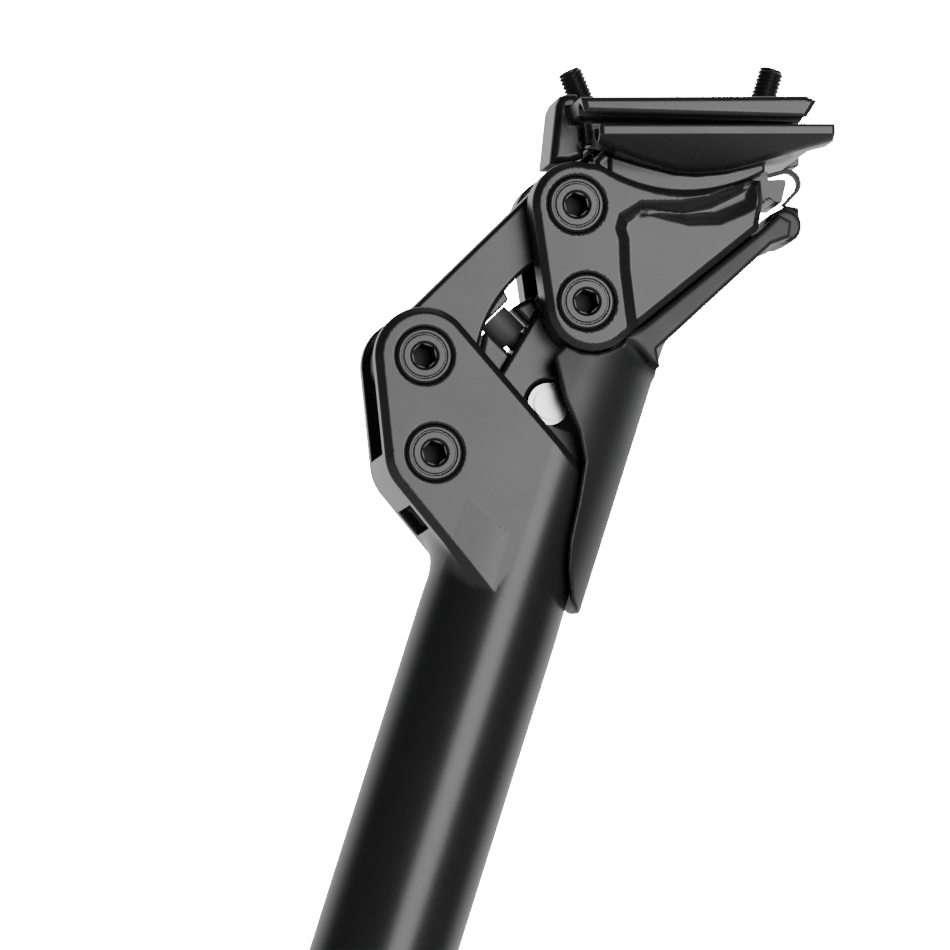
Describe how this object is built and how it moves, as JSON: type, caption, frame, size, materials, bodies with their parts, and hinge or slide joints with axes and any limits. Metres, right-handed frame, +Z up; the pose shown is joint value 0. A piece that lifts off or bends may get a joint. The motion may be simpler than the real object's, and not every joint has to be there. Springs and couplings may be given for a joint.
{
  "type": "suspension seatpost",
  "caption": "Parallelogram suspension seatpost: round tube, forged bracket, parallel links, sprung piston inside, tilting rail clamp and rubber fender.",
  "frame": {"origin": "centre of the tube's bottom end", "axes": "+Z up the tube, +X rearward, the way the saddle moves as the post sags, +Y to the bicycle's right"},
  "size_m": [0.072, 0.0526, 0.3663],
  "materials": {
    "black_anodised": "satin anodised",
    "black_bolt": "black oxide",
    "bright_steel": "ground",
    "grey_steel": "grey",
    "spring_steel": "greased",
    "bushing_plastic": "self-lubricating",
    "black_plastic": "acetal",
    "plug_alloy": "machined",
    "fender_rubber": "matte moulded",
    "bumper_rubber": "matte"
  },
  "bodies": {
    "post": {"post_tube": "black_anodised", "front_lower_axle": "bright_steel", "rear_lower_axle": "bright_steel", "lower_pivot_bolts": "black_bolt"},
    "front_link": {"front_link": "black_anodised", "front_link_bushings": "bushing_plastic"},
    "rear_link": {"rear_link": "black_anodised", "rear_link_bushings": "bushing_plastic", "roller_pin": "bright_steel", "top_out_bumper": "bumper_rubber"},
    "left_roller": {"roller_left": "bright_steel"},
    "right_roller": {"roller_right": "bright_steel"},
    "head": {"head": "black_anodised", "front_upper_axle": "bright_steel", "rear_upper_axle": "bright_steel", "upper_pivot_bolts": "black_bolt", "fender": "fender_rubber", "fender_strap": "fender_rubber"},
    "piston": {"spring_piston": "black_plastic", "spring_guide_rod": "bushing_plastic", "main_spring": "spring_steel"},
    "preload": {"preload_plug": "plug_alloy", "preload_spacer": "bushing_plastic", "spring_seat": "bushing_plastic", "bottom_out_bumper": "bumper_rubber"},
    "saddle_clamp": {"lower_cradle": "black_anodised", "upper_clamp": "black_anodised", "clamp_bolt_front": "black_bolt", "clamp_bolt_rear": "black_bolt", "barrel_nut_front": "grey_steel", "barrel_nut_rear": "grey_steel", "clamp_washer_front": "black_bolt", "clamp_washer_rear": "black_bolt"}
  },
  "joints": [
    {"name": "front_link_swing", "type": "hinge", "parent": "post", "child": "front_link", "pos_m": [-0.0281, 0, 0.2905], "axis": [0, 1, 0], "range_deg": [0, 53.5], "stiffness_Nm_per_rad": 28, "springref_deg": -25.78},
    {"name": "rear_link_swing", "type": "hinge", "parent": "post", "child": "rear_link", "pos_m": [-0.02068, 0, 0.27344], "axis": [0, 1, 0], "range_deg": [0, 53.5]},
    {"name": "head_pivot", "type": "hinge", "parent": "front_link", "child": "head", "pos_m": [-0.00959, 0, 0.32652], "axis": [0, 1, 0], "range_deg": [-53.5, 0]},
    {"name": "piston_slide", "type": "slide", "parent": "post", "child": "piston", "axis": [0, 0, 1], "range_m": [-0.02168, 0], "deforming": ["main_spring"]},
    {"name": "left_roller_spin", "type": "hinge", "parent": "rear_link", "child": "left_roller", "pos_m": [-0.00212, -0.00545, 0.28987], "axis": [0, 1, 0], "continuous": true},
    {"name": "right_roller_spin", "type": "hinge", "parent": "rear_link", "child": "right_roller", "pos_m": [-0.00212, 0.00545, 0.28987], "axis": [0, 1, 0], "continuous": true},
    {"name": "preload_adjust", "type": "slide", "parent": "post", "child": "preload", "axis": [0, 0, 1], "range_m": [0, 0.006]},
    {"name": "saddle_tilt", "type": "hinge", "parent": "head", "child": "saddle_clamp", "pos_m": [0.00053, 0, 0.36541], "axis": [0, 1, 0], "range_deg": [-2.2, 0.8]}
  ],
  "couplings": [
    {"joint": "rear_link_swing", "follows": "front_link_swing", "ratio": 1},
    {"joint": "head_pivot", "follows": "front_link_swing", "ratio": -1},
    {"joint": "piston_slide", "follows": "front_link_swing", "m_per_rad": -0.023111}
  ]
}
